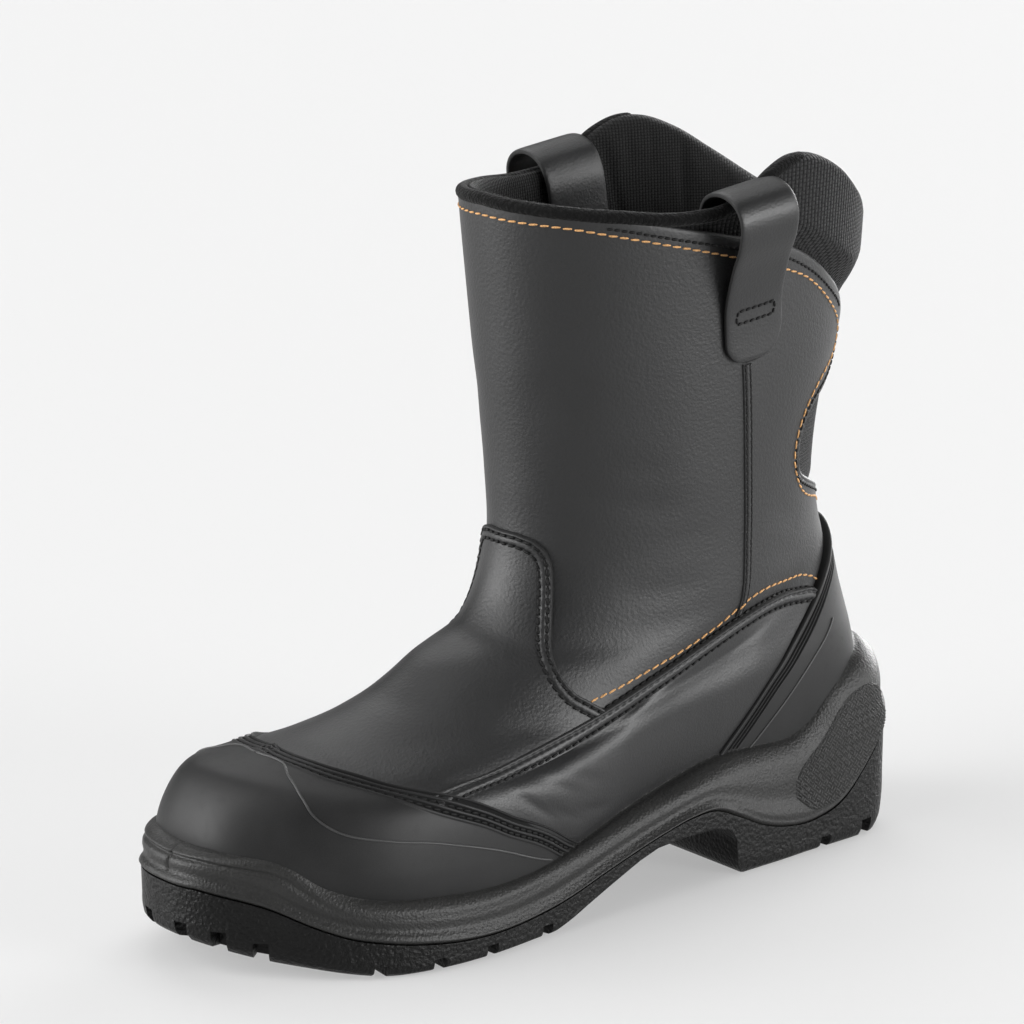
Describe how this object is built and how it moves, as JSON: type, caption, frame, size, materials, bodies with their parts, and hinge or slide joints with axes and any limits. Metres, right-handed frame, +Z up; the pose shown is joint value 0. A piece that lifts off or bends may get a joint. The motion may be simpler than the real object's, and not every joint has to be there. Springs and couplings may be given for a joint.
{
  "type": "pull-on safety boot",
  "caption": "Calf-high pull-on safety boot in dark leather, with a padded collar, side pull loops, a moulded toe cap and a lugged rubber sole.",
  "frame": {"origin": "on the floor, under the middle of the boot's box", "axes": "+X from toe to heel, -Y towards the outer side of the foot, +Z up the shaft"},
  "size_m": [0.3074, 0.1166, 0.2623],
  "materials": {
    "leather": "full-grain, soft satin",
    "smooth_leather": "smooth, soft satin",
    "cap_rubber": "moulded, matt",
    "midsole_foam": "moulded, fine pebble",
    "outsole_rubber": "moulded, coarse pebble",
    "textile": "woven, padded",
    "insole_felt": "felt"
  },
  "bodies": {
    "root": {"collar": "textile", "heel_counter": "cap_rubber", "insole": "insole_felt", "midsole": "midsole_foam", "outsole": "outsole_rubber", "pull_loop_inner": "smooth_leather", "pull_loop_outer": "smooth_leather", "quarter_inner": "smooth_leather", "quarter_outer": "smooth_leather", "side_seam_inner": "leather", "side_seam_outer": "leather", "toe_cap": "cap_rubber", "upper": "leather", "vamp": "leather"}
  },
  "joints": []
}
